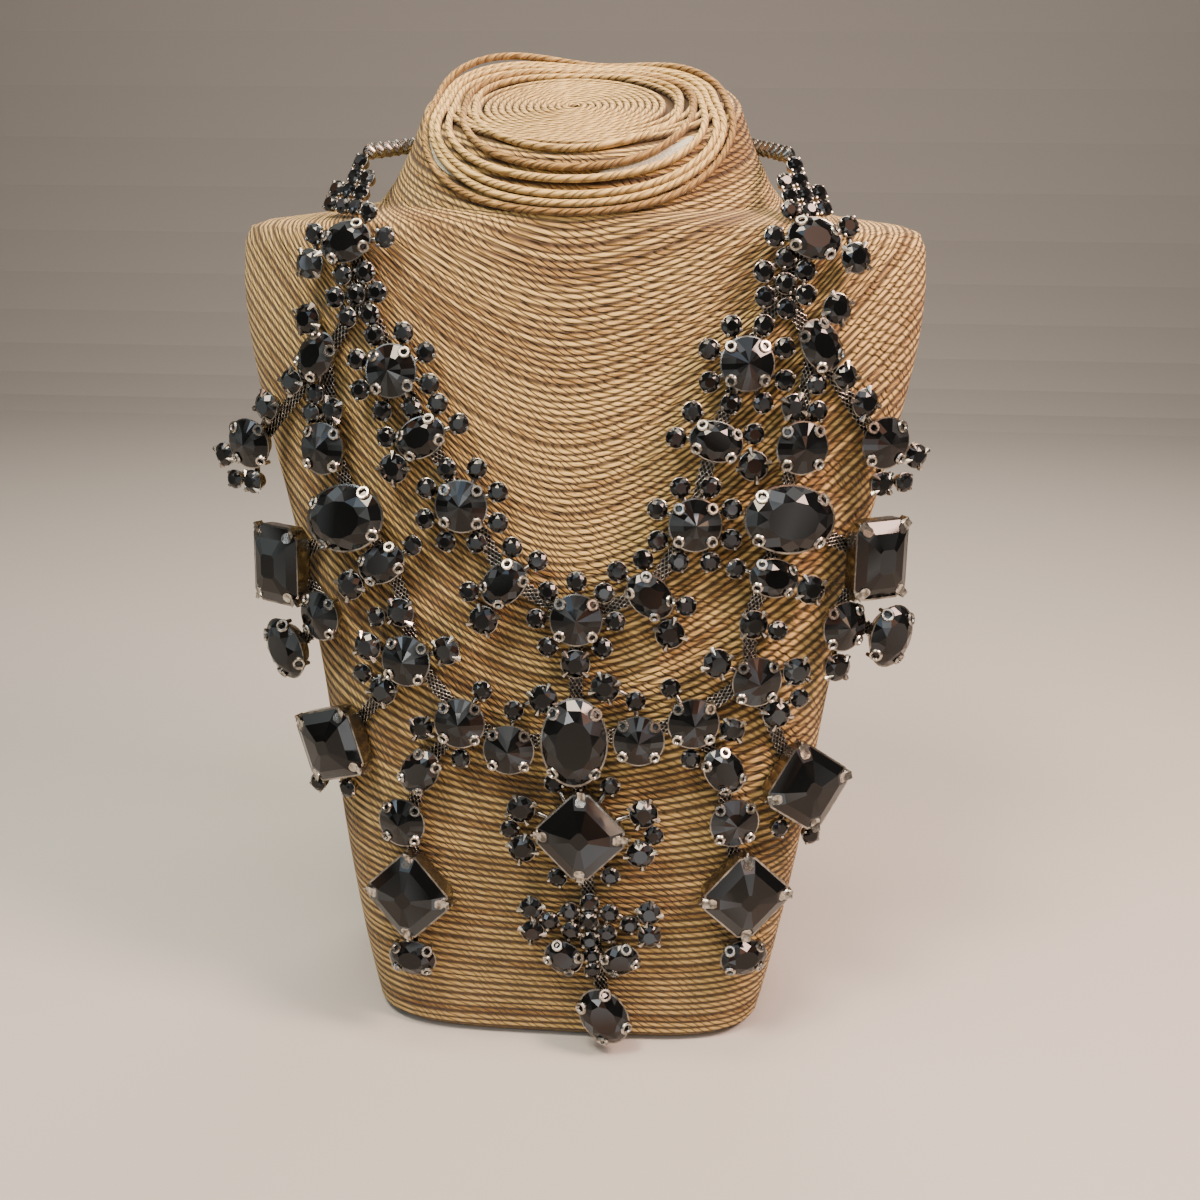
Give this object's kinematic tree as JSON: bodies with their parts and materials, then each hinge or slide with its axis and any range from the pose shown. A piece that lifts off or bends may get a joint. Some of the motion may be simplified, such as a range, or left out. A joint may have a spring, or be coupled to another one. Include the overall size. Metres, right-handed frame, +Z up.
{
  "type": "bib necklace on a twine-wrapped neck bust",
  "caption": "Wide bib necklace of claw-set faceted black stones on a woven metal ribbon, worn on a solid neck bust wrapped in twine.",
  "frame": {"origin": "middle of the bust's flat base", "axes": "+Z up the bust, -Y out of the chest towards the viewer, +X to the viewer's right"},
  "size_m": [0.2068, 0.1113, 0.2829],
  "materials": {
    "black_glass": "opaque jet black faceted glass, highly polished, in gunmetal claw settings",
    "gunmetal": "dark grey gunmetal plating, semi-bright, woven into a wire mesh ribbon",
    "twine": "natural two-ply jute twine, wound in close rows, matt and fibrous"
  },
  "bodies": {
    "root": {"bottom_oval": "black_glass", "centre_cluster": "black_glass", "centre_halo": "black_glass", "centre_oval": "black_glass", "centre_square": "black_glass", "clasp": "gunmetal", "collar_chain_left": "black_glass", "collar_chain_right": "black_glass", "collar_flower_left": "black_glass", "collar_flower_right": "black_glass", "collar_oval_left": "black_glass", "collar_oval_right": "black_glass", "collar_pave_left": "black_glass", "collar_pave_right": "black_glass", "drop_rivoli_left": "black_glass", "drop_rivoli_right": "black_glass", "drop_square_left": "black_glass", "drop_square_right": "black_glass", "inner_rivoli_left": "black_glass", "inner_rivoli_right": "black_glass", "lower_oval_left": "black_glass", "lower_oval_right": "black_glass", "lower_rivoli_left": "black_glass", "lower_rivoli_right": "black_glass", "mesh_ribbon": "gunmetal", "neck_bust": "twine", "neckline_halo_lower_left": "black_glass", "neckline_halo_lower_right": "black_glass", "neckline_halo_upper_left": "black_glass", "neckline_halo_upper_right": "black_glass", "neckline_oval_lower_left": "black_glass", "neckline_oval_lower_right": "black_glass", "neckline_oval_upper_left": "black_glass", "neckline_oval_upper_right": "black_glass", "outer_rivoli_left": "black_glass", "outer_rivoli_right": "black_glass", "outer_round_left": "black_glass", "outer_round_right": "black_glass", "outer_square_left": "black_glass", "outer_square_right": "black_glass", "shoulder_arm_left": "black_glass", "shoulder_arm_right": "black_glass", "shoulder_oval_left": "black_glass", "shoulder_oval_right": "black_glass", "side_large_oval_left": "black_glass", "side_large_oval_right": "black_glass", "side_rectangle_left": "black_glass", "side_rectangle_right": "black_glass", "side_rivoli_left": "black_glass", "side_rivoli_right": "black_glass", "side_slant_oval_left": "black_glass", "side_slant_oval_right": "black_glass", "side_small_oval_left": "black_glass", "side_small_oval_right": "black_glass", "side_stone_left": "black_glass", "side_stone_right": "black_glass"}
  },
  "joints": []
}
